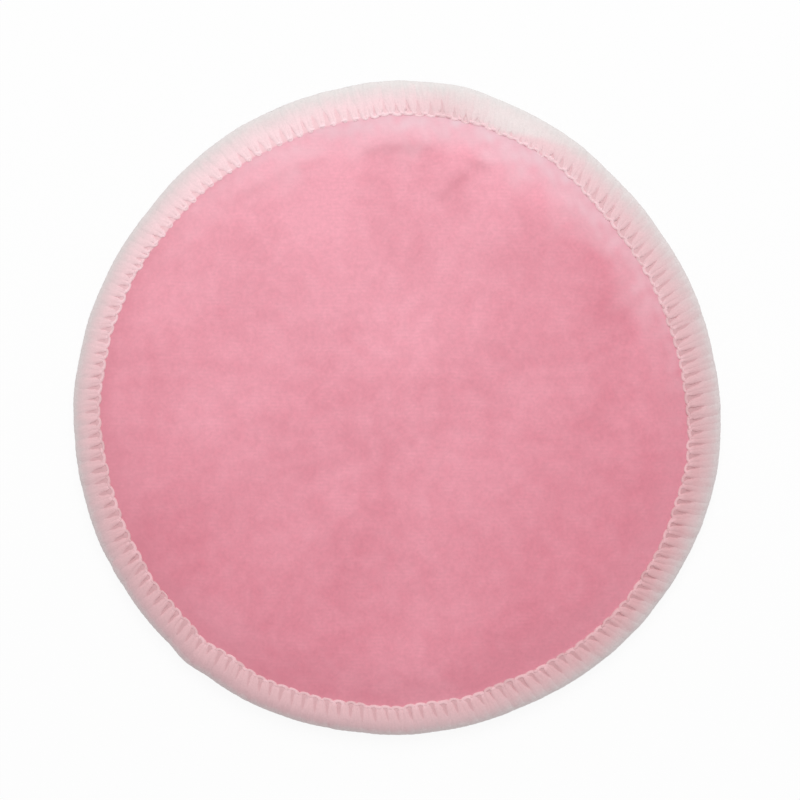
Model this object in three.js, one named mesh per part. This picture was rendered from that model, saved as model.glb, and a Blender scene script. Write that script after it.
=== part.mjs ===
// Reusable makeup remover pad: a pink velour face, an absorbent core and a white back
// cloth, cut round and held together by a three-thread overlock seam over their edge.
// Millimetres, +Z up. The origin is the middle of the underside, on the table.
import * as THREE from 'three';

// Driving dimensions
const PAD_DIAMETER = 80; // over the outside of the seam
const FACE_THICKNESS = 1.3; // pink velour with its pile, away from the seam
const CORE_THICKNESS = 1.5; // absorbent layer, away from the seam
const BACK_THICKNESS = 1.3; // white back cloth, away from the seam
const CROWN_HEIGHT = 0.4; // how much the core swells towards the middle
const SHOULDER_WIDTH = 6.5; // from the needle line in to where the layers are full
const SEAM_SQUEEZE = 0.4; // share of a layer's thickness left under the stitches
const SEAM_BIGHT = 3.7; // from the needle line out to the edge of the pad
const STITCH_LENGTH = 1.425; // along the needle line
const STITCH_SLANT = 12; // degrees that the loops lean away from the radius
const LOOPER_THICKNESS = 0.55; // looper thread lying on the cloth
const SLIT_THICKNESS = 0.2; // looper thread left in the slit between two ribs
const NEEDLE_THREAD = 0.4; // diameter of the needle thread
const NEEDLE_RISE = 0.15; // height of a needle stitch between its two holes
const CLEARANCE = 0.15; // air between two neighbouring pieces

// Facets of the round layers
const LAYER_SEGMENTS = 48;
const SHOULDER_FACET = 1.3; // about the length of a facet across the shoulder

const padRadius = PAD_DIAMETER / 2;
const needleRadius = padRadius - SEAM_BIGHT;
const fullRadius = needleRadius - SHOULDER_WIDTH;
const trimRadius = padRadius - LOOPER_THICKNESS - CLEARANCE;
const shoulderSteps = Math.max(1, Math.round(SHOULDER_WIDTH / SHOULDER_FACET));
const stitchCount = Math.round((2 * Math.PI * needleRadius) / STITCH_LENGTH);
const stitchAngle = (2 * Math.PI) / stitchCount;

// 1 over the middle of the pad, drawn in along a quarter sine to 0 at the needle line.
function swell(radius) {
  const inset = THREE.MathUtils.clamp((needleRadius - radius) / SHOULDER_WIDTH, 0, 1);
  return Math.sin((inset * Math.PI) / 2);
}

// The heights of the three layers at one radius. The underside lies flat on the table
// in the middle, and rises at the seam to leave room for the thread below it.
function stackAt(radius) {
  const full = swell(radius);
  const squeeze = SEAM_SQUEEZE + (1 - SEAM_SQUEEZE) * full;
  const crown = CROWN_HEIGHT * Math.max(0, 1 - (radius / needleRadius) ** 2);
  const backBottom = (LOOPER_THICKNESS + CLEARANCE) * (1 - full);
  const backTop = backBottom + BACK_THICKNESS * squeeze;
  const coreBottom = backTop + CLEARANCE;
  const coreTop = coreBottom + CORE_THICKNESS * squeeze + crown;
  const faceBottom = coreTop + CLEARANCE;
  const faceTop = faceBottom + FACE_THICKNESS * squeeze;
  return { backBottom, backTop, coreBottom, coreTop, faceBottom, faceTop };
}

const seam = stackAt(needleRadius);
const edgeMiddle = (seam.backBottom + seam.faceTop) / 2;
const edgeHalf = (seam.faceTop - seam.backBottom) / 2;

// Radii where a layer's section has a point: the middle, the full part, the shoulder
// as it draws in to the needle line, and the trimmed edge.
function layerRadii() {
  const radii = [0, fullRadius / 2, fullRadius];
  for (let step = 1; step <= shoulderSteps; step += 1) {
    radii.push(fullRadius + SHOULDER_WIDTH * Math.sin((step / shoulderSteps) * (Math.PI / 2)));
  }
  return [...radii, trimRadius];
}

// One cloth layer, turned from its section: out along its underside and back over its top.
function layerGeometry(bottomName, topName) {
  const radii = layerRadii();
  const bottom = radii.map((radius) => new THREE.Vector2(radius, stackAt(radius)[bottomName]));
  const top = radii.map((radius) => new THREE.Vector2(radius, stackAt(radius)[topName]));
  const geometry = new THREE.LatheGeometry([...bottom, ...top.reverse()], LAYER_SEGMENTS);
  return geometry.rotateX(Math.PI / 2);
}

// A closed ring through stations that all have the same number of points.
function ringGeometry(stations) {
  const count = stations[0].length;
  const indices = [];
  for (let station = 0; station < stations.length; station += 1) {
    const here = station * count;
    const next = ((station + 1) % stations.length) * count;
    for (let point = 0; point < count; point += 1) {
      const after = (point + 1) % count;
      indices.push(here + point, next + point, next + after);
      indices.push(here + point, next + after, here + after);
    }
  }
  const geometry = new THREE.BufferGeometry().setFromPoints(stations.flat());
  geometry.setIndex(indices);
  geometry.computeVertexNormals();
  return geometry;
}

function polar(radius, angle, height) {
  return new THREE.Vector3(radius * Math.cos(angle), radius * Math.sin(angle), height);
}

// Half of the seam's section, as [radius, height over the middle of the edge]: from the
// tip of a loop, along the cloth, down the trimmed edge and back over the outside.
function looperSection(innerThickness) {
  const onCloth = edgeHalf + CLEARANCE;
  const onEdge = trimRadius + CLEARANCE;
  return [
    [needleRadius, onCloth],
    [onEdge, onCloth],
    [onEdge, CLEARANCE / 2],
    [padRadius, CLEARANCE / 2],
    [padRadius, onCloth],
    [padRadius - LOOPER_THICKNESS, onCloth + LOOPER_THICKNESS],
    [needleRadius + LOOPER_THICKNESS, onCloth + innerThickness],
  ];
}

// The looper thread of one side, as a band of leaning ribs with a slit between them.
function looperGeometry(side) {
  const lean = Math.tan(THREE.MathUtils.degToRad(STITCH_SLANT)) / needleRadius;
  const stations = [];
  for (let half = 0; half < 2 * stitchCount; half += 1) {
    const section = looperSection(half % 2 === 0 ? LOOPER_THICKNESS : SLIT_THICKNESS);
    const points = section.map(([radius, height]) => {
      const angle = (half / 2) * stitchAngle + (radius - needleRadius) * lean;
      return polar(radius, angle, edgeMiddle + side * height);
    });
    stations.push(side > 0 ? points : points.reverse());
  }
  return ringGeometry(stations);
}

// The needle thread as it shows on the face: a line of stitches inside the loops' tips,
// low at each needle hole and arched between two holes.
function needleGeometry() {
  const half = NEEDLE_THREAD / 2;
  const radius = needleRadius - CLEARANCE - half;
  const onFace = stackAt(radius - half).faceTop + CLEARANCE + half;
  const stations = [];
  for (let step = 0; step < 2 * stitchCount; step += 1) {
    const angle = (step / 2) * stitchAngle;
    const height = onFace + (step % 2) * NEEDLE_RISE;
    stations.push([
      polar(radius - half, angle, height),
      polar(radius, angle, height - half),
      polar(radius + half, angle, height),
      polar(radius, angle, height + half),
    ]);
  }
  return ringGeometry(stations);
}

function cloth(color) {
  return new THREE.MeshStandardMaterial({ color, roughness: 0.95, metalness: 0 });
}

function thread(color) {
  return new THREE.MeshStandardMaterial({ color, roughness: 0.8, metalness: 0 });
}

function piece(name, geometry, material) {
  const mesh = new THREE.Mesh(geometry, material);
  mesh.name = name;
  return mesh;
}

const pad = new THREE.Group();
pad.name = 'makeup_remover_pad';
pad.add(
  piece('front_velour', layerGeometry('faceBottom', 'faceTop'), cloth(0xe597a6)),
  piece('absorbent_core', layerGeometry('coreBottom', 'coreTop'), cloth(0xf1eeea)),
  piece('back_cloth', layerGeometry('backBottom', 'backTop'), cloth(0xf3f0ed)),
  piece('needle_thread', needleGeometry(), thread(0xf6d2d8)),
  piece('upper_looper_thread', looperGeometry(1), thread(0xeecfd3)),
  piece('lower_looper_thread', looperGeometry(-1), thread(0xece6e4)),
);

export default pad;
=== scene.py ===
# Looks of a reusable makeup remover pad: a pink velour face, an absorbent core and a white
# back cloth, held together by a three-thread overlock seam. Lengths are in millimetres and
# become metres where a mesh is made. +Z is up, +Y points to the top of the picture. Angles
# go round the pad anticlockwise from +X.
import math
from types import SimpleNamespace

import bpy
import numpy as np
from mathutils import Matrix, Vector


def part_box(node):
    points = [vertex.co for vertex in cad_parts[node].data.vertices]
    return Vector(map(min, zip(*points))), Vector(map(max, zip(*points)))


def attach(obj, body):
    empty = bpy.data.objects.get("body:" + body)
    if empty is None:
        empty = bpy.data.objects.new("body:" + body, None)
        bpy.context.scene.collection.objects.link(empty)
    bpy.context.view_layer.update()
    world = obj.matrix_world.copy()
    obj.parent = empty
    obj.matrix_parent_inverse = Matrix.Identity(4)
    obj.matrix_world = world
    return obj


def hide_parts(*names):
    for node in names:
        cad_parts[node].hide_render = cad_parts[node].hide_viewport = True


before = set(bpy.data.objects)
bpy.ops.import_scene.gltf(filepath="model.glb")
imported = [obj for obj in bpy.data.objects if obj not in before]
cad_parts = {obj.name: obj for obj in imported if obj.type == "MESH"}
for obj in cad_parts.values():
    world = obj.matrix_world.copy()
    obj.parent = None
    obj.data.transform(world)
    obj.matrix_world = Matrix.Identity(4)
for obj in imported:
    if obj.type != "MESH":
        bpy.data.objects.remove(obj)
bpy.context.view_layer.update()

MM = 0.001
TURN = 2 * math.pi
TINY = 1e-6  # keeps a divisor from 0


def node_box(node):
    """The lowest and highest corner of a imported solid, in millimetres."""
    low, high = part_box(node)
    return np.array(low) / MM, np.array(high) / MM


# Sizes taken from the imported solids
upper_low, upper_high = node_box("upper_looper_thread")
_, lower_high = node_box("lower_looper_thread")
_, face_high = node_box("front_velour")
PAD_RADIUS = upper_high[0]
EDGE_MIDDLE = (upper_low[2] + lower_high[2]) / 2  # height of the middle of the pad's edge
RIM_HALF = upper_high[2] - EDGE_MIDDLE
CROWN_TOP = face_high[2]

# Angles written as numbers are in degrees where nothing else is said. Waves round the pad are
# written as (count, size, crest), and small uneven waves as (lowest count, highest count, joint
# size). A reach is an angle to both sides of a place. A span is where a change begins and where
# it is complete.

# The outline isn't a true circle: its waves are shares of the radius
OUTLINE_WAVES = ((2, 0.0056, 83), (3, 0.0093, 94), (4, 0.0049, 82))
OUTLINE_WANDER = ((5, 12, 0.06), (12, 30, 0.03))
OUTLINE_SEED = 5
CORNER_ANGLE, CORNER_REACH = 230, 3  # a small corner where the edge was cut
CORNER_HEIGHT = 0.35

# The seam, from the needle line to the edge
SEAM_WIDTH = 3.91
SEAM_WAVES = ((1, 0.36, 46), (2, 0.16, 61), (3, 0.18, 113), (4, 0.20, 19))
SEAM_WANDER = ((5, 12, 0.05), (12, 30, 0.04), (30, 110, 0.03))
SEAM_SEED = 6
NEEDLE_LINE = PAD_RADIUS - SEAM_WIDTH  # mean radius of the needle line
STITCHES = 160
PITCH = TURN / STITCHES  # angle from one stitch to the next
STITCH_ANGLES = np.arange(STITCHES)[:, None] * PITCH

# Section of the rolled edge that the threads lie on. A share of the section goes from 0 at the
# needle line to 1 at the edge's middle.
ROLL_POWER = 2.5  # how square it is
RIB_ROOM = 0.55  # height that is left for the ribs over it and under it
ROLL_HALF = RIM_HALF - RIB_ROOM
ROLL_STAND = 0.48  # how far the threads stand out from it at the edge
SEAM_ROOM = 0.7  # height that is left at the needle line
SEAM_PRESS = 0.9  # how much of the rest stays there under the stitches
SEAM_RISE = SEAM_PRESS * (RIM_HALF - SEAM_ROOM)  # height of the face there, from the edge's middle
EDGE_WRAP = 1.2  # how far round the edge's middle the section goes on, in radians
TRACE_POINTS = 4001  # points that it is traced with
SECTION_POINTS = 400  # evenly spaced points that are kept

# Where the seam starts and finishes, the ribs are whiter and the slits between them closed
START_ANGLE, START_REACH = 66, 12
START_WHITE = 0.70  # how much whiter the ribs are
START_RAGGED = 0.8  # how much more uneven the line of the loops' tips is
START_GAP = 0.50  # between the legs of a rib, in pitches, which closes the slits
START_LINE = 68  # from here the white's inner border runs out over the edge
START_RUN = 13  # angle that it takes
START_DEPTH = 0.6  # share of the section that the border gets to
START_BORDER = 0.2  # how soft the border is
START_FADE_SPAN = (0.4, 0.85)  # shares where the white goes over into the tint of the edge

# Slits between the ribs, in shares of the section
SLIT_END = 0.54  # where they close
SLIT_SWING = 0.18  # how much longer they are at the bottom of the picture than at its sides
SLIT_SHORTEST, SLIT_LONGEST = 0.20, 0.60
SHORT_SLITS = ((START_ANGLE, 10, 0.70), (140, 30, 0.30))  # shorter ones, as (angle, reach, how much)

# Where the loops lie closed, as round teeth
TOOTH_ANGLE, TOOTH_REACH = 122, 32
TOOTH_SPAN = (0.35, 0.65)  # nearness where open loops go over into teeth
TOOTH_GAP = 0.72  # between the legs of two teeth, in pitches
TOOTH_SLIM = 0.15  # how much thinner the legs are

# One loop of a looper thread: in along a leg, round the loop at the needle line, out along the
# other leg and over the edge to the next loop. A rib is the second leg of a loop with the first
# of the next. Widths and heights are halves.
LEG_STEPS = 10
LOOP_STEPS = 9
EDGE_STEPS = 5
LOOPER_SIDES = 10
LOOP_SHARE = 0.075  # share of the section where a leg goes over into the round of the loop
LOOP_ARCH = 0.075  # how far the round arches in from there
LEG_GAP = 0.26  # between the two legs of a rib at the needle line, in pitches
EDGE_GAP = 0.50  # the same at the edge
GAP_SPAN = (0.35, 1)  # shares where they spread
EDGE_ROUND = 0.08  # how far the round at the edge goes out from the legs
LOOP_WIDTH, LOOP_HEIGHT = 0.18, 0.18
LEG_WIDTH, LEG_HEIGHT = 0.45, 0.22
OVER_WIDTH, OVER_HEIGHT = 1.15, 0.20
EDGE_WIDTH, EDGE_HEIGHT = 0.60, 0.20
LOOP_SPAN = (0.01, 0.10)  # shares where the loop's size goes over into the leg's
OVER_SPAN = (0.5, 1.2)  # parts of a slit's length where the leg widens
EDGE_SPAN = (0.80, 0.98)  # parts of the way to the turn where it gets narrower again
RIB_STAND = 0.7  # part of a rib's half height that its middle is over the roll
TIP_LIFT = 0.18  # how much higher the loops' tips lie
DIP_SPAN = (0, 0.3)  # shares where the unevenness of the loops' tips fades
PLUMP_LEAST = 0.90  # how thick the thinnest rib is
UPPER_SLANT, LOWER_SLANT = 12.5, 3.0  # mean lean of the ribs
SLANT_SWING, SLANT_CREST = 5.0, -20  # how it changes round the seam, and where it is greatest
UPPER_TURN, LOWER_TURN = 1.06, 0.90  # share of the section where each thread turns back
UPPER_SEED, LOWER_SEED = 31, 32

# How the stitches differ, as (size, part of it that wanders slowly round the seam)
PLACE_WANDER = (0.05, 0.2)  # in pitches
SLIT_WANDER = (0.16, 0.4)
LEAN_WANDER = (3.5, 0.4)
PLUMP_WANDER = (0.10, 0.3)
DIP_WANDER = (0.016, 0.3)
WIDTH_WANDER = (0.07, 0.3)
GAP_WANDER = (0.06, 0.3)
TIP_WANDER = (0.5, 0.2)
NEEDLE_WANDER = (0.4, 0.2)
SLOW_WAVES = 14  # what wanders slowly has fewer waves than this

# Needle thread
NEEDLE_RADIUS = 0.13  # in its hole
NEEDLE_PLUMP = 0.07  # how much thicker it is between two holes
NEEDLE_HOLE = 0.02  # place of the needle holes, as a share of the section
NEEDLE_APART = 0.08  # half the distance of the two strands in a hole, in pitches
NEEDLE_RISE = 0.32  # how far it arches up between two holes
NEEDLE_DEPTH = 0.42  # how far its stitches stand out on the back
NEEDLE_TILT = 0.35  # how steeply the direction rises that its section is set up from
RUN_STEPS, DOWN_STEPS, UNDER_STEPS = 9, 3, 4
NEEDLE_SIDES = 8
NEEDLE_SEED = 33

# Threads don't fold over themselves in their bends
BEND_FILL = 0.92  # the inner half of a thread takes at most this part of a bend's radius
BEND_FLARE = 0.7  # how quickly it widens again after it
BEND_SPREAD = 12  # points on each side of a bend that feel it
BEND_LEAST = 1e-3  # a thread with less bend counts as straight

# Cloth
SECTORS = 4 * STITCHES  # points in a ring
ANGLES = np.arange(SECTORS) * TURN / SECTORS
FACE_THICKNESS, BACK_THICKNESS = 1.3, 1.3
SEAM_THICKNESS = 0.5  # an outer cloth under the stitches
LAYER_AIR = 0.1  # between two cloths
TRIM_SHARE = 0.5  # the outer cloths end at this share of the section
SEAM_FIRST, SEAM_RINGS = 0.03, 9  # their rings under the stitches begin at this share
SEAM_SHARES = np.linspace(SEAM_FIRST, TRIM_SHARE, SEAM_RINGS)[:, None]
FACE_RINGS = (0.70, 50, 0.995, 46)  # rings inside the needle line, for ring_shares
BACK_RINGS = (0.80, 52, 1, 30)
CORE_RINGS = 24
FACE_INNER_STEP, BACK_INNER_STEP = 10, 8  # the hidden sides take one ring in so many
SLIT_FLOOR = 0.20  # height of the outer cloths in the slits, over the rolled edge's section
SLIT_RISE = 0.08  # how much higher they are where the slits end
SLIT_RISE_SPAN = (0.05, 0.45)
SLIT_SILL = 0.13  # how much higher they are at the needle line
SLIT_SILL_SPAN = (0.06, 0.18)
SHOULDER_WIDTH = 6.5
SHOULDER_POWER = 1.7  # how quickly the shoulder rises from the seam
CROWN_HEIGHT = 0.4
PILE_RISE = 0.30  # how far the pile stands up against the loops
PILE_WIDTH = 0.6

# Core
CORE_SEAM_AIR = 0.15  # more air next to the core at the seam
CORE_FACE_AIR = 0.35  # between the core and the face
CORE_TRIM_AIR = 0.04  # share of the section between the trimmed cloths and the core's edge
CORE_EDGE_RINGS = 10
CORE_LIFT = 0.05  # height of its edge over the rolled edge's section
CORE_PUSH = 0.17  # how much further it pushes out
CORE_PUSH_SPAN = (0.6, 0.85)

# Uneven ground, from seeded waves with lengths in a range
FACE_HILLS = {"seed": 11, "lengths": (11, 28), "height": 0.10, "count": 14}
FACE_GRAIN = {"seed": 12, "lengths": (2.2, 6), "height": 0.02, "count": 30}
FACE_GROUND_SPAN = (0, 3)  # distances in from the seam over which it begins
BACK_GRAIN = {"seed": 21, "lengths": (1.2, 3.0), "height": 0.03, "count": 40}
BACK_GRAIN_LIFT = 0.06
BACK_GROUND_SPAN = (0, 2)

# Soft folds that the velour kept, as (points, height). A fold slopes gently on the left of its
# points and falls steeply on their right.
FOLDS = (
    (((-4.3, 32.3), (1.0, 32.8), (5.0, 32.5)), 0.34),
    (((4.2, 26.2), (6.5, 27.8), (8.5, 30.3), (11.9, 30.6)), 0.36),
    (((-22.0, 25.0), (-14.0, 29.5), (-8.0, 31.5)), 0.12),
)
FOLD_GENTLE = 2.2
FOLD_STEEP = 0.8
FOLD_END_SPAN = (0.6, 1.15)  # parts of half a fold's length where it fades
# painted shade on the steep sides of the folds
FOLD_SHADE = 0.9
FOLD_SHADE_WIDTH = 0.9
FOLD_SHADE_MEAN, FOLD_SHADE_LEAST = 0.65, 0.25
FOLD_UNEVEN = {"seed": 14, "lengths": (1.2, 4), "height": 0.25, "count": 16}

# Painted sheen: next to the seam, on the side towards the light, the face is painted paler
PALE_ANGLE = 74
PALE_POWER = 1.8  # how quickly that fades round the seam
PALE_WIDTH = 4.4
PALE_SPAN = (-0.2, 1.5)  # in widths
PALE_SHARE = 0.80
PALE_BORDER = {"seed": 13, "lengths": (4, 12), "height": 0.7, "count": 12}
PALE_UNEVEN = {"seed": 15, "lengths": (1.2, 3.5), "height": 0.14, "count": 24}
PALE_SIDE_ANGLE, PALE_SIDE_REACH = -20, 50  # a little of it also shows at the right
PALE_SIDE_SHARE = 0.11
FRINGE_SHARE = 0.35  # all along the seam a narrow band next to the loops is painted paler, which lifts the shade there
FRINGE_WIDTH = 0.35

# Painted shade: on the side away from the light the face next to the seam is painted darker
SEAM_SHADE_ANGLE, SEAM_SHADE_REACH = 212, 66
SEAM_SHADE_WIDTH = 2.0
SEAM_SHADE = 0.65

# The threads' tint changes round the seam and along the section. Round the seam it is partly painted light,
# paler towards the top where the light comes from, and partly their own tone
RIB_LIGHT_AND_TONE = 0.43  # how pale the ribs are on average
RIB_LIGHT_AND_TONE_WAVES = ((1, 0.41, 110), (2, 0.19, 95), (3, 0.07, 20))
PINK_ANGLE, PINK_REACH = 80, 6  # next to the seam's start the ribs are pinker
PINK_SHARE = 0.25
ROLL_LIGHT_AND_TONE = 0.48  # how white the thread over the edge is on average
ROLL_LIGHT_AND_TONE_WAVES = ((1, 0.36, 76), (2, 0.12, 122), (3, 0.09, 67))
ROLL_TINT_SPAN = (0.24, 0.85)
EDGE_TINT = 0.8  # how much the thread is tinted at the very edge
EDGE_TINT_SPAN = (0.62, 0.88)
TIP_TINT = 0.55  # how much the loops' tips and the needle thread are tinted on average
TIP_TINT_SPAN = (0.06, 0.13)
SLIT_TINT_SPAN = (-0.08, 0.06)
SLIT_PALE = 0.12  # painted light: how much paler the face cloth is painted in the slits at the needle line, where the loops' tips shade it
SLIT_PALE_SPAN = (0.03, 0.15)

# Colours, as linear red, green, blue and alpha. Pairs go from pinker or darker to paler.
VELOUR_COLOURS = ((0.771, 0.289, 0.369, 1.0), (0.929, 0.483, 0.570, 1.0))
# painted sheen next to the seam
SHEEN_COLOUR = (0.88, 0.68, 0.73, 1.0)
PAINTED_SHADE_COLOUR = (0.70, 0.24, 0.31, 1.0)  # painted shade on the steep sides of the folds and next to the seam on the side away from the light
SLIT_COLOURS = ((0.66, 0.39, 0.41, 1.0), (0.96, 0.72, 0.75, 1.0))
START_COLOUR = (0.85, 0.82, 0.80, 1.0)
UPPER_RIBS = ((0.697, 0.399, 0.420, 1.0), (0.986, 0.717, 0.749, 1.0))
UPPER_ROLL = ((0.622, 0.398, 0.422, 1.0), (0.760, 0.727, 0.712, 1.0))
UPPER_TIPS = ((0.83, 0.50, 0.53, 1.0), (1.00, 0.75, 0.79, 1.0))
LOWER_RIBS = ((0.76, 0.68, 0.67, 1.0), (0.84, 0.77, 0.76, 1.0))
LOWER_ROLL = ((0.72, 0.60, 0.60, 1.0), (0.78, 0.72, 0.715, 1.0))
LOWER_TIPS = ((0.80, 0.735, 0.73, 1.0), (0.87, 0.81, 0.80, 1.0))
EDGE_COLOURS = ((0.755, 0.665, 0.665, 1.0), (0.790, 0.755, 0.745, 1.0))
CORE_COLOURS = ((0.68, 0.60, 0.59, 1.0), (0.76, 0.70, 0.69, 1.0))
BACK_COLOURS = ((0.76, 0.73, 0.71, 1.0), (0.91, 0.89, 0.87, 1.0))
WHITE = (1.0, 1.0, 1.0, 1.0)
FLOOR_GREY = (0.9, 0.9, 0.9, 1.0)

# Painted sheen and shade: the face is painted paler towards the top of the picture and slightly to the left,
# where the light comes from, and darker at the left and the right
SHEEN_TOWARDS = Vector((-0.41, 0.91, 0)).normalized()
SHEEN_REACH = 36 * MM
SHEEN_RANGE = (0.06, 1.02)
SIDE_SHADE = 0.36  # how much painted shade darkens it at the left and at the right

# Textures. Scales are in cells to a metre, swings are to both sides of a middle value.
NOISE_RANGE = (0.3, 0.7)  # where most values of a noise lie
MOTTLE_SCALE, MOTTLE_SWING = 110, 0.20
CLUMP_SCALE, CLUMP_SWING = 480, 0.11
PILE_SCALE, PILE_SWING = 2400, 0.05
KNIT_WAVE = {"Scale": 700, "Distortion": 2.5, "Detail": 2, "Detail Scale": 0.6}
KNIT_STRENGTH = 0.03
KNIT_RANGE = (0.45, 0.65)  # values of the clumps where the rows of the knit come to show
KNIT_BUMP = 4.0
FLUFF_SCALE, FLUFF_SWING = 900, 0.12
FUZZ_SCALE, FUZZ_SWING = 4200, 0.04
FILAMENT_SWING = 0.03
FILAMENT_BUMP = 0.6
FILAMENTS = 24  # streaks round a thread
FILAMENT_LENGTH = 1.2
NEEDLE_TWIST = 0.8  # turns of the needle thread in a millimetre
CORE_LOOP_SCALE, BACK_LOOP_SCALE = 900, 1100
TERRY_LOOP = 0.7  # distance from the middle of a terry loop to its outside, which is painted darker as shade between the loops, in cells
TERRY_FUZZ_SCALE, TERRY_FUZZ_SWING = 3600, 0.3
TERRY_FUZZ_BUMP = 0.5

# Finishes, in the order of the shader's sockets, and bumps as (strength, millimetres)
FINISH_SOCKETS = (
    "Roughness", "Diffuse Roughness", "Specular IOR Level",
    "Sheen Weight", "Sheen Roughness", "Sheen Tint",
)
VELOUR_FINISH = (0.85, 1.0, 0.3, 0.25, 0.5, (1.0, 0.86, 0.88, 1.0))
THREAD_FINISH = (0.8, 0.0, 0.3, 0.2, 0.4, (1.0, 0.95, 0.95, 1.0))
TERRY_FINISH = (0.9, 0.0, 0.25, 0.25, 0.5, WHITE)
VELOUR_BUMP, THREAD_BUMP, TERRY_BUMP = (0.22, 0.08), (0.4, 0.08), (0.5, 0.2)

# Stage, light and camera, in metres
BACKGROUND_SHARE = 0.9  # how much of the floor's look is plain white background
FLOOR_HALF = 1.5
FLOOR_TOP = -0.00002  # just under the pad
AMBIENT = 0.58
KEY_PLACE = Vector((0.03, 0.33, 0.53))
KEY_SIZE = 0.40
KEY_POWER = 2.0
CAMERA_PLACE = Vector((0.43, 1.33, 275.2)) * MM
CAMERA_LENS, CAMERA_SENSOR = 100, 36  # millimetres


def smoothstep(low, high, value):
    """0 below a span, 1 above it and a smooth rise between."""
    t = np.clip((value - low) / (high - low), 0, 1)
    return t * t * (3 - 2 * t)


def waves(angle, table):
    """The sum of (count, size, crest) waves round the pad."""
    return sum(size * np.cos(count * (angle - math.radians(crest))) for count, size, crest in table)


def wander(angle, table, seed):
    """Small uneven waves round the pad, from (lowest count, highest count, joint size) ranges."""
    rng = np.random.default_rng(seed)
    total = 0
    for low, high, size in table:
        for count in range(low, high):
            total = total + size * math.sqrt(2 / (high - low)) * np.cos(count * angle + rng.uniform(0, TURN))
    return total


def near(angle, middle, reach):
    """1 at a middle angle, falling to 0 on both sides of it. Middle and reach are in degrees."""
    away = (angle - math.radians(middle) + math.pi) % TURN - math.pi
    return np.exp(-((away / math.radians(reach)) ** 2))


def edge_radius(angle):
    """Radius of the pad's outline."""
    corner = CORNER_HEIGHT * near(angle, CORNER_ANGLE, CORNER_REACH)
    wave = 1 + waves(angle, OUTLINE_WAVES)
    return PAD_RADIUS * wave + corner + wander(angle, OUTLINE_WANDER, OUTLINE_SEED)


def seam_width(angle):
    """Distance from the outline in to the needle line."""
    return SEAM_WIDTH + waves(angle, SEAM_WAVES) + wander(angle, SEAM_WANDER, SEAM_SEED)


def needle_radius(angle):
    """Radius of the needle line."""
    return edge_radius(angle) - seam_width(angle)


def rib_light_and_tone(angle):
    """How pale the ribs next to the needle line are, from 0 to 1: partly painted light, paler towards the
    top, and partly their own tone.
    """
    pink = PINK_SHARE * near(angle, PINK_ANGLE, PINK_REACH)
    return np.clip(RIB_LIGHT_AND_TONE + waves(angle, RIB_LIGHT_AND_TONE_WAVES) - pink, 0, 1)


def roll_light_and_tone(angle):
    """How white the thread is over the rolled edge, from 0 to 1: partly painted light, whiter towards the
    top, and partly its own tone.
    """
    return np.clip(ROLL_LIGHT_AND_TONE + waves(angle, ROLL_LIGHT_AND_TONE_WAVES), 0, 1)


def start_border(angle):
    """Share of the section where the white of the seam's start begins."""
    passed = (math.radians(START_LINE) - angle) / math.radians(START_RUN)
    return START_DEPTH * np.clip(passed, 0, 1)


def roll_section():
    """The rolled edge's section from the needle line over the top and past the edge's middle, as
    shares of its length with the place out from the needle line, the height and the normal."""
    turn = np.linspace(math.pi, -EDGE_WRAP, TRACE_POINTS)
    width = SEAM_WIDTH - ROLL_STAND
    bend = 2 / ROLL_POWER
    out = width / 2 * (1 + np.sign(np.cos(turn)) * np.abs(np.cos(turn)) ** bend)
    height = ROLL_HALF * np.sign(np.sin(turn)) * np.abs(np.sin(turn)) ** bend
    start = np.argmax(height >= SEAM_RISE)
    turn, out, height = turn[start:], out[start:] - out[start], height[start:]
    run = np.concatenate([[0], np.cumsum(np.hypot(np.diff(out), np.diff(height)))])
    length = run[np.argmax(turn <= 0)]
    even = np.linspace(0, run[-1], SECTION_POINTS)
    out, height = np.interp(even, run, out), np.interp(even, run, height)
    slope_out, slope_up = np.gradient(out), np.gradient(height)
    size = np.hypot(slope_out, slope_up)
    return even / length, out, height, -slope_up / size, slope_out / size, length


ROLL_SHARE, ROLL_OUT, ROLL_HEIGHT, ROLL_NORMAL_OUT, ROLL_NORMAL_UP, ROLL_LENGTH = roll_section()


def polar(radius, angle, height):
    """Points from their place round the pad."""
    return np.stack(np.broadcast_arrays(radius * np.cos(angle), radius * np.sin(angle), height), axis=-1)


def on_roll(angle, share, side, lift):
    """Points over the rolled edge, at a share of its section. Side is 1 for the face and -1 for the
    back. Inside the needle line the section goes straight on."""
    stretch = (seam_width(angle) - ROLL_STAND) / ROLL_OUT.max()
    normal_out = np.interp(share, ROLL_SHARE, ROLL_NORMAL_OUT)
    normal_up = np.interp(share, ROLL_SHARE, ROLL_NORMAL_UP)
    inside = np.minimum(share, 0) * ROLL_LENGTH
    out = np.interp(share, ROLL_SHARE, ROLL_OUT) * stretch + inside * normal_up + normal_out * lift
    height = np.interp(share, ROLL_SHARE, ROLL_HEIGHT) - inside * normal_out + normal_up * lift
    return polar(needle_radius(angle) + out, angle, EDGE_MIDDLE + side * height)


# Mesh building

def add_object(name, data):
    """An object in the scene."""
    item = bpy.data.objects.new(name, data)
    bpy.context.scene.collection.objects.link(item)
    return item


def grid_faces(rows, columns, wrap_rows):
    """Four-sided faces between neighbouring rows of points, each row closed on itself."""
    here = np.arange(rows * columns).reshape(rows, columns)
    after = np.roll(here, -1, axis=0)
    corners = (here, after, np.roll(after, -1, axis=1), np.roll(here, -1, axis=1))
    used = rows if wrap_rows else rows - 1
    return np.stack(corners, axis=-1)[:used].reshape(-1, 4).tolist()


def add_piece(name, node, points, faces, material, slot, **fields):
    """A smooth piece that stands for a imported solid, with values at its points for the material."""
    mesh = bpy.data.meshes.new(name)
    mesh.from_pydata((points * MM).tolist(), [], faces)
    mesh.shade_smooth()
    mesh.materials.append(material)
    for field, values in fields.items():
        layer = mesh.attributes.new(field, "FLOAT", "POINT")
        layer.data.foreach_set("value", np.ascontiguousarray(values, dtype=np.float32))
    piece = add_object(name, mesh)
    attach(piece, "root")
    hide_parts(node)
    return piece


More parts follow.
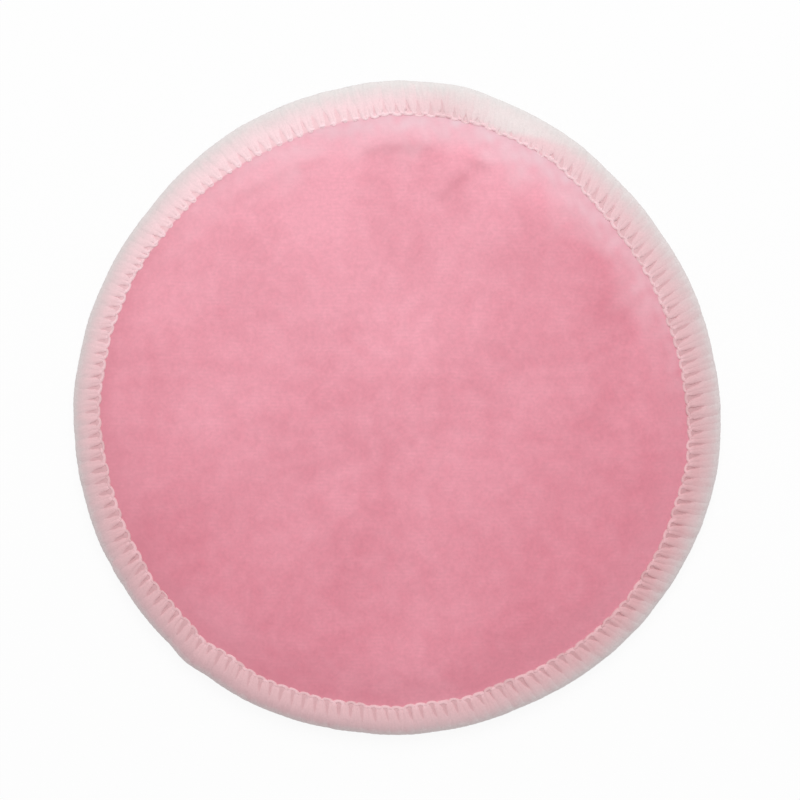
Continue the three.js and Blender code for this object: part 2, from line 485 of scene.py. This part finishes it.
def add_layer(name, node, rings, material, slot, **fields):
    """A round cloth from rings of points that run from the middle of its top, out over the top, round
    the edge and back to the middle of its underside."""
    count, sectors, _ = rings.shape
    points = np.concatenate([rings.reshape(-1, 3), rings[:1].mean(axis=1), rings[-1:].mean(axis=1)])
    top, bottom = count * sectors, count * sectors + 1
    faces = grid_faces(count, sectors, wrap_rows=False)
    last = (count - 1) * sectors
    for here in range(sectors):
        after = (here + 1) % sectors
        faces.append([top, here, after])
        faces.append([bottom, last + after, last + here])
    padded = {}
    for field, values in fields.items():
        values = np.broadcast_to(values, (count, sectors)).reshape(-1)
        padded[field] = np.concatenate([values, values[:1], values[-1:]])
    return add_piece(name, node, points, faces, material, slot, **padded)


def add_thread(name, node, rings, step, material, slot, **fields):
    """A closed thread through rings of points, with the place along it and round it for its material."""
    count, sides, _ = rings.shape
    fields = {**fields, "along": np.cumsum(step) - step}
    spread = {field: np.repeat(values, sides) for field, values in fields.items()}
    spread["around"] = np.tile(np.arange(sides) / sides, count)
    faces = grid_faces(count, sides, wrap_rows=True)
    return add_piece(name, node, rings.reshape(-1, 3), faces, material, slot, **spread)


def directions_round(sides):
    """Angles of the points round a thread."""
    return np.arange(sides) * TURN / sides - math.pi / 2


def round_thread(path, away, radius, sides):
    """Rings of points round a closed path, and the steps along it."""
    step = np.linalg.norm(np.roll(path, -1, axis=0) - path, axis=1)
    ahead = np.roll(path, -1, axis=0) - np.roll(path, 1, axis=0)
    ahead /= np.linalg.norm(ahead, axis=1, keepdims=True)
    normal = away - ahead * np.sum(away * ahead, axis=1, keepdims=True)
    normal /= np.linalg.norm(normal, axis=1, keepdims=True)
    across = np.cross(ahead, normal)
    around = directions_round(sides)
    section = across[:, None] * np.cos(around)[:, None] + normal[:, None] * np.sin(around)[:, None]
    return path[:, None] + radius[:, None, None] * section, step


def bend_room(ahead, across, step):
    """How wide a thread may be on each side before the inside of a bend folds over itself."""
    turning = np.roll(ahead, -1, axis=0) - np.roll(ahead, 1, axis=0)
    bend = np.sum(turning * across, axis=1) / (step + np.roll(step, 1))
    room = BEND_FILL / np.maximum(np.stack([bend, -bend]), BEND_LEAST)
    for _ in range(BEND_SPREAD):
        room = np.minimum(room, np.roll(room, 1, axis=1) + BEND_FLARE * np.roll(step, 1))
        room = np.minimum(room, np.roll(room, -1, axis=1) + BEND_FLARE * step)
    return room


def laid_thread(side, sides, angle, share, lift, half_width, half_height):
    """Rings of points round a flat thread that lies on the rolled edge all the way round the pad and
    follows its curve, and the steps along the thread."""
    run = np.stack([angle * NEEDLE_LINE, share * ROLL_LENGTH], axis=-1)
    lap = np.array([TURN * NEEDLE_LINE, 0])
    lapped = np.concatenate([run[-1:] - lap, run, run[:1] + lap])
    step = np.linalg.norm(lapped[2:] - run, axis=1)
    ahead = lapped[2:] - lapped[:-2]
    ahead /= np.linalg.norm(ahead, axis=1, keepdims=True)
    across = side * np.stack([-ahead[:, 1], ahead[:, 0]], axis=-1)
    around = directions_round(sides)
    left, right = np.minimum(half_width, bend_room(ahead, across, step))[..., None]
    sideways = np.cos(around) * np.where(np.cos(around) > 0, left, right)
    place = run[:, None] + across[:, None] * sideways[..., None]
    raised = lift[:, None] + half_height[:, None] * np.sin(around)
    return on_roll(place[..., 0] / NEEDLE_LINE, place[..., 1] / ROLL_LENGTH, side, raised), step


# Materials

def new_material(name):
    """A material with its node tree and its shader."""
    material = bpy.data.materials.new(name)
    material.use_nodes = True
    tree = material.node_tree
    return material, tree, tree.nodes["Principled BSDF"]


def add_node(tree, kind, inputs=(), **settings):
    """A node with its settings and its inputs as (socket, value or linked socket) pairs."""
    node = tree.nodes.new("ShaderNode" + kind)
    for setting, value in settings.items():
        setattr(node, setting, value)
    for socket, value in inputs:
        if isinstance(value, bpy.types.NodeSocket):
            tree.links.new(value, node.inputs[socket])
        else:
            node.inputs[socket].default_value = value
    return node


def object_place(tree):
    """The place on the object, in metres."""
    return add_node(tree, "TexCoord").outputs["Object"]


def attribute(tree, name):
    """A value that the mesh holds at its points."""
    return add_node(tree, "Attribute", attribute_name=name).outputs["Fac"]


def noise(tree, vector, scale, detail=2.0, roughness=0.5):
    """Soft cloudy noise."""
    inputs = (("Vector", vector), ("Scale", scale), ("Detail", detail), ("Roughness", roughness))
    return add_node(tree, "TexNoise", inputs).outputs["Fac"]


def calculate(tree, operation, first, second=0.0):
    """One step of arithmetic."""
    return add_node(tree, "Math", ((0, first), (1, second)), operation=operation).outputs[0]


def remap(tree, value, source, target):
    """A value taken from one range to another."""
    sockets = ("From Min", "From Max", "To Min", "To Max")
    inputs = (("Value", value), *zip(sockets, (*source, *target)))
    return add_node(tree, "MapRange", inputs).outputs[0]


def swing(tree, texture, size, middle=0.0):
    """A noise brought to a size on both sides of a middle value."""
    return remap(tree, texture, NOISE_RANGE, (middle - size, middle + size))


def mix(tree, factor, first, second, blend_type="MIX"):
    """A mix of two colours."""
    inputs = ((0, factor), (6, first), (7, second))
    return add_node(tree, "Mix", inputs, data_type="RGBA", blend_type=blend_type).outputs[2]


def finish_material(tree, shader, base, height, bump, finish):
    """Links colour and bump to the shader and sets its other values."""
    tree.links.new(base, shader.inputs["Base Color"])
    strength, distance = bump
    inputs = (("Height", height), ("Strength", strength), ("Distance", distance * MM))
    tree.links.new(add_node(tree, "Bump", inputs).outputs[0], shader.inputs["Normal"])
    for socket, value in zip(FINISH_SOCKETS, finish):
        shader.inputs[socket].default_value = value


def sheen_gradient(tree, place):
    """Painted sheen and shade: paler towards the top, where the light comes from, darker towards both sides.
    """
    along = add_node(tree, "VectorMath", ((0, place), (1, SHEEN_TOWARDS)), operation="DOT_PRODUCT")
    pale = remap(tree, along.outputs["Value"], (-SHEEN_REACH, SHEEN_REACH), SHEEN_RANGE)
    sideways = add_node(tree, "SeparateXYZ", (("Vector", place),)).outputs["X"]
    sideways = calculate(tree, "ABSOLUTE", calculate(tree, "DIVIDE", sideways, SHEEN_REACH))
    sideways = calculate(tree, "POWER", sideways, 2.0)
    return calculate(tree, "SUBTRACT", pale, calculate(tree, "MULTIPLY", sideways, SIDE_SHADE))


def knit_rows(tree, place, clump):
    """Faint rows of the knitted ground, which show only through some clumps of the pile."""
    inputs = (("Vector", place), *KNIT_WAVE.items())
    knit = add_node(tree, "TexWave", inputs, wave_type="BANDS", bands_direction="Y").outputs["Fac"]
    strength = remap(tree, clump, KNIT_RANGE, (0.0, KNIT_STRENGTH))
    return calculate(tree, "MULTIPLY", calculate(tree, "SUBTRACT", knit, 0.5), strength)


def velour_material():
    """Short pink pile: soft mottling, faint knit rows, painted sheen towards the light and painted shade at
    the folds and along the seam.
    """
    material, tree, shader = new_material("pink_velour")
    place = object_place(tree)
    mottle = noise(tree, place, MOTTLE_SCALE, detail=3)
    clump = noise(tree, place, CLUMP_SCALE)
    pile = noise(tree, place, PILE_SCALE, detail=3, roughness=0.6)
    rows = knit_rows(tree, place, clump)
    # painted sheen and side shade, with random mottling and clumps
    light = calculate(tree, "ADD", sheen_gradient(tree, place), swing(tree, mottle, MOTTLE_SWING))
    light = calculate(tree, "ADD", light, swing(tree, clump, CLUMP_SWING))
    shade = calculate(tree, "ADD", swing(tree, pile, PILE_SWING, middle=1.0), rows)
    base = mix(tree, 1.0, mix(tree, light, *VELOUR_COLOURS), shade, "MULTIPLY")
    # painted sheen along the seam
    base = mix(tree, attribute(tree, "pale"), base, SHEEN_COLOUR)
    # painted shade at the folds and next to the seam
    base = mix(tree, attribute(tree, "fold"), base, PAINTED_SHADE_COLOUR)
    # the slits follow the ribs' painted light round the seam
    in_slit = mix(tree, attribute(tree, "tone"), *SLIT_COLOURS)
    in_slit = mix(tree, attribute(tree, "start"), in_slit, START_COLOUR)
    base = mix(tree, attribute(tree, "seam"), base, in_slit)
    height = calculate(tree, "ADD", pile, calculate(tree, "MULTIPLY", rows, KNIT_BUMP))
    finish_material(tree, shader, base, height, VELOUR_BUMP, VELOUR_FINISH)
    return material


def filaments(tree, twist):
    """Fine streaks that run along a thread, or round it where the thread is twisted."""
    along, around = attribute(tree, "along"), attribute(tree, "around")
    turned = calculate(tree, "ADD", around, calculate(tree, "MULTIPLY", along, twist))
    place = add_node(tree, "CombineXYZ", (
        ("X", calculate(tree, "MULTIPLY", turned, FILAMENTS)),
        ("Y", calculate(tree, "MULTIPLY", along, 1 / FILAMENT_LENGTH)),
    ))
    return noise(tree, place.outputs[0], 1.0)


def thread_material(name, rib_colours, roll_colours, tip_colours, twist=0.0):
    """Fluffy textured thread: pink at the needle line, whiter over the edge, with fine filaments and painted
    light round the seam.
    """
    material, tree, shader = new_material(name)
    place = object_place(tree)
    tone, roll = attribute(tree, "tone"), attribute(tree, "roll")
    fluff = swing(tree, noise(tree, place, FLUFF_SCALE, detail=3, roughness=0.6), FLUFF_SWING)
    over = calculate(tree, "ADD", attribute(tree, "over"), fluff)
    base = mix(tree, over, mix(tree, tone, *rib_colours), mix(tree, roll, *roll_colours))
    base = mix(tree, attribute(tree, "start"), base, START_COLOUR)
    base = mix(tree, attribute(tree, "edge"), base, mix(tree, roll, *EDGE_COLOURS))
    base = mix(tree, attribute(tree, "tip"), base, mix(tree, tone, *tip_colours))
    filament = filaments(tree, twist)
    fuzz = noise(tree, place, FUZZ_SCALE, detail=3, roughness=0.65)
    shade = swing(tree, fuzz, FUZZ_SWING, middle=1.0)
    shade = calculate(tree, "ADD", shade, swing(tree, filament, FILAMENT_SWING))
    base = mix(tree, 1.0, base, shade, "MULTIPLY")
    height = calculate(tree, "ADD", fuzz, calculate(tree, "MULTIPLY", filament, FILAMENT_BUMP))
    finish_material(tree, shader, base, height, THREAD_BUMP, THREAD_FINISH)
    return material


def terry_material(name, colours, loop_scale):
    """White cloth with small loops and painted shade between them."""
    material, tree, shader = new_material(name)
    place = object_place(tree)
    loops = add_node(tree, "TexVoronoi", (("Vector", place), ("Scale", loop_scale))).outputs["Distance"]
    fuzz = noise(tree, place, TERRY_FUZZ_SCALE, detail=3, roughness=0.6)
    # painted shade between the loops
    tone = remap(tree, loops, (0.0, TERRY_LOOP), (1.0, 0.0))
    tone = calculate(tree, "ADD", tone, swing(tree, fuzz, TERRY_FUZZ_SWING))
    base = mix(tree, tone, *colours)
    height = calculate(tree, "SUBTRACT", calculate(tree, "MULTIPLY", fuzz, TERRY_FUZZ_BUMP), loops)
    finish_material(tree, shader, base, height, TERRY_BUMP, TERRY_FINISH)
    return material


# Cloth pieces

def swell(inset):
    """How full the pad is at a distance in from the needle line: 0 at the line to 1."""
    return 1 - (1 - np.clip(inset / SHOULDER_WIDTH, 0, 1)) ** SHOULDER_POWER


def ring_shares(middle_end, middle_rings, outer_end, outer_rings):
    """Shares of the needle radius for the rings of a cloth, which lie closer next to the seam."""
    middle = np.linspace(0, middle_end, middle_rings)[1:]
    outer = np.linspace(middle_end, outer_end, outer_rings)[1:]
    return np.concatenate([middle, outer])[:, None]


def inside_seam(share):
    """Rings of places inside the needle line, by their share of its radius: the radius, x, y and
    the distance in from the line."""
    needle = needle_radius(ANGLES)
    radius = share * needle
    return radius, radius * np.cos(ANGLES), radius * np.sin(ANGLES), (1 - share) * needle


def relief(x, y, seed, lengths, height, count):
    """Soft uneven ground: a sum of seeded plane waves with wavelengths in a range."""
    rng = np.random.default_rng(seed)
    total = np.zeros(np.broadcast_shapes(x.shape, y.shape))
    draws = (rng.uniform(*lengths, count), rng.uniform(0, TURN, count), rng.uniform(0, TURN, count))
    for length, heading, phase in zip(*draws):
        total += np.cos((x * np.cos(heading) + y * np.sin(heading)) * TURN / length + phase)
    return total * height / math.sqrt(count / 2)


def fold_distance(x, y, points):
    """Distance from the crest of a fold in fold widths, and from the foot of its steep side in
    millimetres."""
    nearest = np.full(x.shape, np.inf)
    foot = np.full(x.shape, np.inf)
    for (x0, y0), (x1, y1) in zip(points, points[1:]):
        run_x, run_y = x1 - x0, y1 - y0
        length = math.hypot(run_x, run_y)
        share = np.clip(((x - x0) * run_x + (y - y0) * run_y) / length**2, 0, 1)
        away = np.hypot(x - x0 - share * run_x, y - y0 - share * run_y)
        left = (run_x * (y - y0) - run_y * (x - x0)) / length
        leaning = smoothstep(-1, 1, left / np.maximum(away, TINY))
        scaled = away / (FOLD_STEEP + (FOLD_GENTLE - FOLD_STEEP) * leaning)
        foot = np.where(scaled < nearest, np.hypot(left + FOLD_STEEP, away - np.abs(left)), foot)
        nearest = np.minimum(nearest, scaled)
    return nearest, foot


def taper(x, y, points):
    """1 at the middle of a fold, fading to 0 at its two ends."""
    (x0, y0), (x1, y1) = points[0], points[-1]
    away = np.hypot(x - (x0 + x1) / 2, y - (y0 + y1) / 2)
    return 1 - smoothstep(*FOLD_END_SPAN, away / math.hypot(x1 - x0, y1 - y0) * 2)


def fold_height(x, y):
    """Height that the folds add to the face."""
    total = 0
    for points, height in FOLDS:
        crest, _ = fold_distance(x, y, points)
        total = total + height * taper(x, y, points) * np.exp(-(crest**2))
    return total


def fold_shade(x, y):
    """Painted shade on the steep side of a fold, on its side away from the light."""
    uneven = np.clip(FOLD_SHADE_MEAN + relief(x, y, **FOLD_UNEVEN), FOLD_SHADE_LEAST, 1)
    total = np.zeros(x.shape)
    for points, height in FOLDS:
        _, foot = fold_distance(x, y, points)
        parted = np.exp(-((foot / FOLD_SHADE_WIDTH) ** 2))
        total += FOLD_SHADE * height * parted * taper(x, y, points)
    return total * uneven


def seam_shade(angle, inset):
    """How much painted shade darkens the face next to the seam."""
    return SEAM_SHADE * near(angle, SEAM_SHADE_ANGLE, SEAM_SHADE_REACH) * np.exp(-inset / SEAM_SHADE_WIDTH)


def sheen_band(angle, inset, x, y):
    """Painted sheen: a paler band along the seam on the side towards the light, with an uneven inner border,
    and a narrow one all along the seam.
    """
    border = PALE_WIDTH + relief(x, y, **PALE_BORDER)
    facing = PALE_SHARE * np.clip(np.cos(angle - math.radians(PALE_ANGLE)), 0, 1) ** PALE_POWER
    facing = facing + PALE_SIDE_SHARE * near(angle, PALE_SIDE_ANGLE, PALE_SIDE_REACH)
    brushed = facing * (1 + relief(x, y, **PALE_UNEVEN)) * (1 - smoothstep(*PALE_SPAN, inset / border))
    return np.maximum(brushed, FRINGE_SHARE * np.exp(-inset / FRINGE_WIDTH))


def face_height(inset, share, x, y):
    """Height of the velour inside the needle line."""
    at_seam = EDGE_MIDDLE + SEAM_RISE
    height = at_seam + (CROWN_TOP - CROWN_HEIGHT - at_seam) * swell(inset)
    height += CROWN_HEIGHT * (1 - share**2)
    pile = PILE_RISE * np.exp(-inset / PILE_WIDTH)
    ground = relief(x, y, **FACE_HILLS) + relief(x, y, **FACE_GRAIN) + fold_height(x, y)
    return height + pile + ground * smoothstep(*FACE_GROUND_SPAN, inset)


def slit_floor(share):
    """Height of an outer cloth in the slits, over the rolled edge's section."""
    rise = SLIT_RISE * smoothstep(*SLIT_RISE_SPAN, share)
    return SLIT_FLOOR + rise + SLIT_SILL * (1 - smoothstep(*SLIT_SILL_SPAN, share))


def front_velour(material):
    """The pink face, out to its trimmed edge under the stitches and back along its hidden side."""
    share = ring_shares(*FACE_RINGS)
    radius, x, y, inset = inside_seam(share)
    top = polar(radius, ANGLES, face_height(inset, share, x, y))
    upper = on_roll(ANGLES, SEAM_SHARES, 1, slit_floor(SEAM_SHARES))
    lower = on_roll(ANGLES, SEAM_SHARES[::-1], 1, SLIT_FLOOR - SEAM_THICKNESS)
    inner = slice(None, None, -FACE_INNER_STEP)
    under = top[inner].copy()
    under[..., 2] -= SEAM_THICKNESS + (FACE_THICKNESS - SEAM_THICKNESS) * swell(inset[inner])
    rings = np.concatenate([top, upper, lower, under])

    face = slice(0, len(top))
    in_slits = slice(len(top), len(top) + len(upper))
    hidden = slice(in_slits.stop, in_slits.stop + len(lower))
    seam, pale, fold = np.zeros((3, *rings.shape[:2]))
    seam[in_slits] = smoothstep(*SLIT_TINT_SPAN, SEAM_SHARES)
    seam[hidden] = 1
    # painted sheen along the seam
    pale[face] = sheen_band(ANGLES, inset, x, y)
    # painted shade at the folds and next to the seam
    fold[face] = fold_shade(x, y) + seam_shade(ANGLES, inset)
    tone = np.tile(rib_light_and_tone(ANGLES), (len(rings), 1))
    # painted light under the loops' tips, where they shade the slits
    tone[in_slits] += SLIT_PALE * (1 - smoothstep(*SLIT_PALE_SPAN, SEAM_SHARES))
    start = START_WHITE * near(ANGLES, START_ANGLE, START_REACH) * (start_border(ANGLES) == 0)
    return add_layer(
        "velour_face", "front_velour", rings, material, "pink_velour",
        seam=seam, pale=pale, fold=fold, tone=tone, start=start,
    )


def absorbent_core(material):
    """The core fills the pad and its cut edge pushes out between the threads."""
    share = np.linspace(0, 1, CORE_RINGS)[1:, None]
    radius, _, _, inset = inside_seam(share)
    full = swell(inset)
    seam_half = SEAM_RISE - SEAM_THICKNESS - LAYER_AIR - CORE_SEAM_AIR
    seam_top = EDGE_MIDDLE + seam_half
    full_top = CROWN_TOP - CROWN_HEIGHT - FACE_THICKNESS - CORE_FACE_AIR
    crown = CROWN_HEIGHT * (1 - share**2)
    top = polar(radius, ANGLES, seam_top + (full_top - seam_top) * full + crown)
    seam_bottom = EDGE_MIDDLE - seam_half
    full_bottom = BACK_THICKNESS + LAYER_AIR
    bottom = polar(radius, ANGLES, seam_bottom + (full_bottom - seam_bottom) * full)
    round_edge = np.linspace(TRIM_SHARE + CORE_TRIM_AIR, 1, CORE_EDGE_RINGS)[:, None]
    lift = CORE_LIFT + CORE_PUSH * smoothstep(*CORE_PUSH_SPAN, round_edge)
    upper = on_roll(ANGLES, round_edge, 1, lift)
    lower = on_roll(ANGLES, round_edge[:-1], -1, lift[:-1])
    rings = np.concatenate([top, upper, lower[::-1], bottom[::-1]])
    piece = add_layer("core_pad", "absorbent_core", rings, material, "core_terry")


def back_cloth(material):
    """The white back, from its hidden side out to its trimmed edge and back along its outside."""
    radius, x, y, inset = inside_seam(ring_shares(*BACK_RINGS))
    at_seam = EDGE_MIDDLE - SEAM_RISE
    ground = np.maximum(relief(x, y, **BACK_GRAIN) + BACK_GRAIN_LIFT, 0)
    height = at_seam * (1 - swell(inset)) + ground * smoothstep(*BACK_GROUND_SPAN, inset)
    bottom = polar(radius, ANGLES, height)
    lower = on_roll(ANGLES, SEAM_SHARES[::-1], -1, slit_floor(SEAM_SHARES[::-1]))
    upper = on_roll(ANGLES, SEAM_SHARES, -1, SLIT_FLOOR - SEAM_THICKNESS)
    inner = slice(None, None, BACK_INNER_STEP)
    top = bottom[inner].copy()
    top[..., 2] += SEAM_THICKNESS + (BACK_THICKNESS - SEAM_THICKNESS) * swell(inset[inner])
    rings = np.concatenate([top, upper, lower, bottom[::-1]])
    return add_layer("back_face", "back_cloth", rings, material, "white_back")


# Threads

def wandering(rng, size, smooth):
    """One number for each stitch: some of it wanders slowly round the seam, some is its own."""
    own = rng.normal(0, 1, STITCHES)
    slow = np.fft.rfft(rng.normal(0, 1, STITCHES))
    slow = np.fft.irfft(slow * (np.arange(len(slow)) < SLOW_WAVES), STITCHES)
    slow /= slow.std()
    return (size * (smooth * slow + (1 - smooth) * own))[:, None]


def tip_tint(rng):
    """How strong the colour of the tips is at each stitch."""
    return np.clip(TIP_TINT + wandering(rng, *TIP_WANDER), 0, 1)


def stitch_values(seed, slant):
    """What each loop of a looper thread has of its own."""
    rng = np.random.default_rng(seed)
    middle = STITCH_ANGLES + wandering(rng, *PLACE_WANDER) * PITCH
    start = near(middle, START_ANGLE, START_REACH)
    tooth = smoothstep(*TOOTH_SPAN, near(middle, TOOTH_ANGLE, TOOTH_REACH))
    slit = SLIT_END * (1 - SLIT_SWING * np.sin(middle)) * (1 + wandering(rng, *SLIT_WANDER))
    for angle, reach, shorter in SHORT_SLITS:
        slit = slit * (1 - shorter * near(middle, angle, reach))
    turned = np.cos(middle - math.radians(SLANT_CREST))
    lean = slant + SLANT_SWING * turned + wandering(rng, *LEAN_WANDER)
    plump = 1 + wandering(rng, *PLUMP_WANDER)
    dip = wandering(rng, *DIP_WANDER) * (1 + START_RAGGED * start)
    wide = 1 + wandering(rng, *WIDTH_WANDER)
    gap = LEG_GAP + wandering(rng, *GAP_WANDER)
    return SimpleNamespace(
        middle=middle - tooth * PITCH / 2,
        start=start,
        tooth=tooth,
        slit=np.clip(slit, SLIT_SHORTEST, SLIT_LONGEST),
        lean=np.tan(np.radians(lean)),
        plump=np.maximum(plump, PLUMP_LEAST),
        dip=dip,
        wide=wide,
        gap=gap + (TOOTH_GAP - LEG_GAP) * tooth + (START_GAP - LEG_GAP) * start,
        tip=tip_tint(rng),
    )


def leg_place(share, gap):
    """How far a leg lies from the middle of its loop, in pitches, from the gap between the legs of a
    rib at the needle line."""
    return 0.5 - (gap + (EDGE_GAP - gap) * smoothstep(*GAP_SPAN, share)) / 2


def loop_template(turn_back, gap):
    """Share of the section along a loop of a thread that turns back at a share of the section, and
    place across the stitch in pitches for the gap of each loop."""
    leg = np.linspace(turn_back - EDGE_ROUND, LOOP_SHARE, LEG_STEPS)
    bend = np.linspace(0, math.pi, LOOP_STEPS + 2)[1:-1]
    turn = np.linspace(-math.pi / 2, math.pi / 2, EDGE_STEPS + 2)[1:-1]
    round_share = LOOP_SHARE - LOOP_ARCH * np.sin(bend)
    turn_share = leg[0] + EDGE_ROUND * np.cos(turn)
    share = np.concatenate([leg, round_share, leg[::-1], turn_share])
    leg_in = leg_place(leg, gap)
    place = np.concatenate([
        -leg_in,
        -leg_place(LOOP_SHARE, gap) * np.cos(bend),
        leg_in[:, ::-1],
        0.5 + (0.5 - leg_in[:, :1]) * np.sin(turn),
    ], axis=1)
    return share, place


def looper_fields(angle, share, stitch):
    """What the material of a looper thread reads along it."""
    border = start_border(angle)
    white = smoothstep(border, border + START_BORDER, share) * (1 - smoothstep(*START_FADE_SPAN, share))
    return {
        "over": smoothstep(*ROLL_TINT_SPAN, share),
        "start": START_WHITE * stitch.start * white,
        "edge": EDGE_TINT * smoothstep(*EDGE_TINT_SPAN, share),
        "tip": stitch.tip * (1 - smoothstep(*TIP_TINT_SPAN, share)),
        "tone": rib_light_and_tone(angle),
        "roll": roll_light_and_tone(angle),
    }


def looper(name, node, material, slot, side, slant, turn_back, seed):
    """A thread in loops over the rolled edge, on the face or on the back."""
    stitch = stitch_values(seed, slant)
    share, place = loop_template(turn_back, stitch.gap)
    share = share + stitch.dip * (1 - smoothstep(*DIP_SPAN, share))
    angle = stitch.middle + place * PITCH + stitch.lean * share * ROLL_LENGTH / PAD_RADIUS
    past_loop = smoothstep(*LOOP_SPAN, share)
    past_slit = smoothstep(*OVER_SPAN, share / stitch.slit)
    at_edge = smoothstep(*EDGE_SPAN, share / turn_back)

    def blend_sizes(loop, leg, over, edge):
        """A size of the thread along each loop, from its values at four places."""
        size = leg + (over - leg) * past_slit
        size = size + (edge - size) * at_edge
        return loop + (size - loop) * past_loop

    leg_width = LEG_WIDTH * (1 - TOOTH_SLIM * stitch.tooth)
    width = blend_sizes(LOOP_WIDTH, leg_width, OVER_WIDTH, EDGE_WIDTH) * stitch.wide
    height = blend_sizes(LOOP_HEIGHT, LEG_HEIGHT, OVER_HEIGHT, EDGE_HEIGHT) * stitch.plump
    lift = height * RIB_STAND + TIP_LIFT * (1 - past_loop)
    along = [values.reshape(-1) for values in (angle, share, lift, width, height)]
    rings, step = laid_thread(side, LOOPER_SIDES, *along)
    fields = {
        field: np.broadcast_to(values, angle.shape).reshape(-1)
        for field, values in looper_fields(angle, share, stitch).items()
    }
    add_thread(name, node, rings, step, material, slot, **fields)


def needle_thread(material):
    """Runs from hole to hole over the ends of the ribs, and through the layers at each hole."""
    run = np.linspace(0, 1, RUN_STEPS)
    down = np.linspace(1, 0, DOWN_STEPS + 2)[1:-1]
    under = np.linspace(0, math.pi, UNDER_STEPS)
    arch = np.sin(math.pi * run)
    in_hole = np.zeros(DOWN_STEPS)
    place = np.concatenate([
        NEEDLE_APART + (1 - 2 * NEEDLE_APART) * run,
        np.full(DOWN_STEPS, 1 - NEEDLE_APART),
        1 - NEEDLE_APART * np.cos(under),
        np.full(DOWN_STEPS, 1 + NEEDLE_APART),
    ])
    level = np.concatenate([np.ones(RUN_STEPS), down, np.zeros(UNDER_STEPS), down[::-1]])
    raised = np.concatenate([arch * NEEDLE_RISE, in_hole, -NEEDLE_DEPTH * np.sin(under), in_hole])
    plump = np.concatenate([arch, np.zeros(len(place) - RUN_STEPS)])

    angle = STITCH_ANGLES + place * PITCH
    path = on_roll(angle, NEEDLE_HOLE, 1, 0.0)
    top = path[..., 2].copy()
    bottom = 2 * EDGE_MIDDLE - top
    path[..., 2] = bottom + (top - bottom) * level + raised
    away = polar(1, angle, NEEDLE_TILT)
    rng = np.random.default_rng(NEEDLE_SEED)
    own = 1 + wandering(rng, *NEEDLE_WANDER)
    radius = NEEDLE_RADIUS + NEEDLE_PLUMP * plump * own
    rings, step = round_thread(path.reshape(-1, 3), away.reshape(-1, 3), radius.reshape(-1), NEEDLE_SIDES)
    tip = np.broadcast_to(tip_tint(rng), angle.shape)
    add_thread(
        "needle_stitches", "needle_thread", rings, step, material, "needle_thread",
        tip=tip.reshape(-1), tone=rib_light_and_tone(angle).reshape(-1),
    )


def add_pad():
    """The six pieces of the pad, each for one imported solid."""
    velour = front_velour(velour_material())
    absorbent_core(terry_material("core_terry", CORE_COLOURS, CORE_LOOP_SCALE))
    back = back_cloth(terry_material("white_back", BACK_COLOURS, BACK_LOOP_SCALE))

    upper_look = thread_material("upper_looper", UPPER_RIBS, UPPER_ROLL, UPPER_TIPS)
    lower_look = thread_material("lower_looper", LOWER_RIBS, LOWER_ROLL, LOWER_TIPS)
    needle_look = thread_material("needle_thread", UPPER_RIBS, UPPER_RIBS, UPPER_TIPS, NEEDLE_TWIST)
    looper(
        "upper_looper_loops", "upper_looper_thread", upper_look, "upper_looper",
        side=1, slant=UPPER_SLANT, turn_back=UPPER_TURN, seed=UPPER_SEED,
    )
    looper(
        "lower_looper_loops", "lower_looper_thread", lower_look, "lower_looper",
        side=-1, slant=LOWER_SLANT, turn_back=LOWER_TURN, seed=LOWER_SEED,
    )
    needle_thread(needle_look)


# Stage, light and camera

def seen_directly(tree):
    """1 for a ray that shows the background itself: from the camera, a reflection or through glass."""
    path = add_node(tree, "LightPath")
    seen = calculate(tree, "MAXIMUM", path.outputs["Is Camera Ray"], path.outputs["Is Glossy Ray"])
    return calculate(tree, "MAXIMUM", seen, path.outputs["Is Transmission Ray"])


def add_floor():
    """A floor that looks like white background with a faint shadow, and lights the pad as a grey one."""
    material, tree, _ = new_material("floor")
    tree.nodes.clear()
    paint = add_node(tree, "BsdfDiffuse", (("Color", FLOOR_GREY),)).outputs[0]
    white = add_node(tree, "Emission", (("Strength", 1.0),)).outputs[0]
    share = calculate(tree, "MULTIPLY", seen_directly(tree), BACKGROUND_SHARE)
    look = add_node(tree, "MixShader", ((0, share), (1, paint), (2, white))).outputs[0]
    add_node(tree, "OutputMaterial", (("Surface", look),))
    mesh = bpy.data.meshes.new("floor")
    corners = [(-1, -1), (1, -1), (1, 1), (-1, 1)]
    mesh.from_pydata([(x * FLOOR_HALF, y * FLOOR_HALF, FLOOR_TOP) for x, y in corners], [], [(0, 1, 2, 3)])
    mesh.materials.append(material)
    floor = add_object("floor", mesh)


def add_world():
    """White surroundings, which light the pad less than they show."""
    world = bpy.data.worlds.new("studio")
    world.use_nodes = True
    tree = world.node_tree
    background = tree.nodes["Background"]
    background.inputs["Color"].default_value = WHITE
    strength = remap(tree, seen_directly(tree), (0, 1), (AMBIENT, 1.0))
    tree.links.new(strength, background.inputs["Strength"])
    bpy.context.scene.world = world


def add_key_light():
    """A soft light above the top of the picture."""
    lamp = bpy.data.lights.new("key", "AREA")
    lamp.size = KEY_SIZE
    lamp.energy = KEY_POWER
    key = add_object("key", lamp)
    key.location = KEY_PLACE
    key.rotation_euler = (-KEY_PLACE).to_track_quat("-Z", "Y").to_euler()


def add_camera():
    """A camera that looks straight down, as in the photo."""
    lens = bpy.data.cameras.new("camera")
    lens.lens = CAMERA_LENS
    lens.sensor_width = CAMERA_SENSOR
    camera = add_object("camera", lens)
    camera.location = CAMERA_PLACE
    bpy.context.scene.camera = camera


add_pad()
add_floor()
add_world()
add_key_light()
add_camera()
bpy.context.scene.view_settings.view_transform = "Standard"
